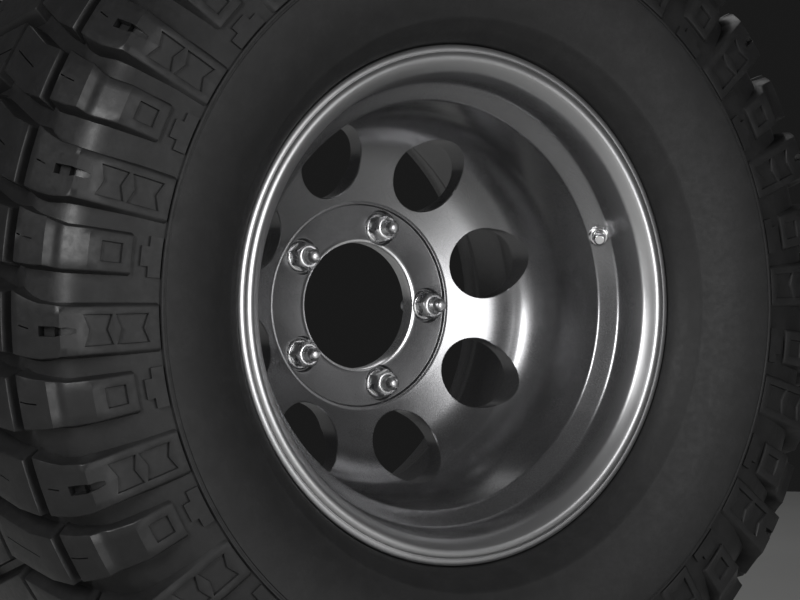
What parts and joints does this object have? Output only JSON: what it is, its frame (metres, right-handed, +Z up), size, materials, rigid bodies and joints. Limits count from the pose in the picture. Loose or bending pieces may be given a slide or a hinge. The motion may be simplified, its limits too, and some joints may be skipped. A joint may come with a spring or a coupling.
{
  "type": "alloy wheel",
  "caption": "Deep-dish cast alloy wheel with round windows, a mud-terrain tyre, a clamp-in valve with a screw cap, and hub studs with chrome washers and open nuts.",
  "frame": {"origin": "centre of the wheel: on its spin axis, in the middle plane between the two flanges of the rim and the two sides of the tyre", "axes": "the wheel spins about Y; the outer face looks along -Y and the hub side along +Y; +Z is up"},
  "size_m": [0.7998, 0.351, 0.7998],
  "materials": {
    "casting": "satin anthracite coat with bright turned edges",
    "tyre": "moulded black with a soft sheen",
    "stud_steel": "bright plated",
    "fastener_chrome": "polished",
    "valve_chrome": "polished",
    "valve_rubber": "matt",
    "core_brass": "turned"
  },
  "bodies": {
    "wheel": {"wheel_casting": "casting", "tyre": "tyre", "valve_body": "valve_chrome", "valve_seal": "valve_rubber", "valve_washer": "valve_chrome", "valve_nut": "valve_chrome", "valve_core": "core_brass", "stud_1": "stud_steel", "stud_2": "stud_steel", "stud_3": "stud_steel", "stud_4": "stud_steel", "stud_5": "stud_steel", "washer_1": "fastener_chrome", "washer_2": "fastener_chrome", "washer_3": "fastener_chrome", "washer_4": "fastener_chrome", "washer_5": "fastener_chrome", "nut_1": "fastener_chrome", "nut_2": "fastener_chrome", "nut_3": "fastener_chrome", "nut_4": "fastener_chrome", "nut_5": "fastener_chrome"},
    "valve_cap": {"valve_cap": "valve_chrome", "valve_cap_seal": "valve_rubber"},
    "core_pin": {"valve_core_pin": "core_brass"}
  },
  "joints": [
    {"name": "cap_slide", "type": "slide", "parent": "wheel", "child": "valve_cap", "axis": [-0.5707, -0.7944, -0.2077], "range_m": [0, 0.015]},
    {"name": "pin_slide", "type": "slide", "parent": "wheel", "child": "core_pin", "axis": [-0.5707, -0.7944, -0.2077], "range_m": [-0.0012, 0], "stiffness_N_per_m": 200, "springref_m": 0.003}
  ]
}
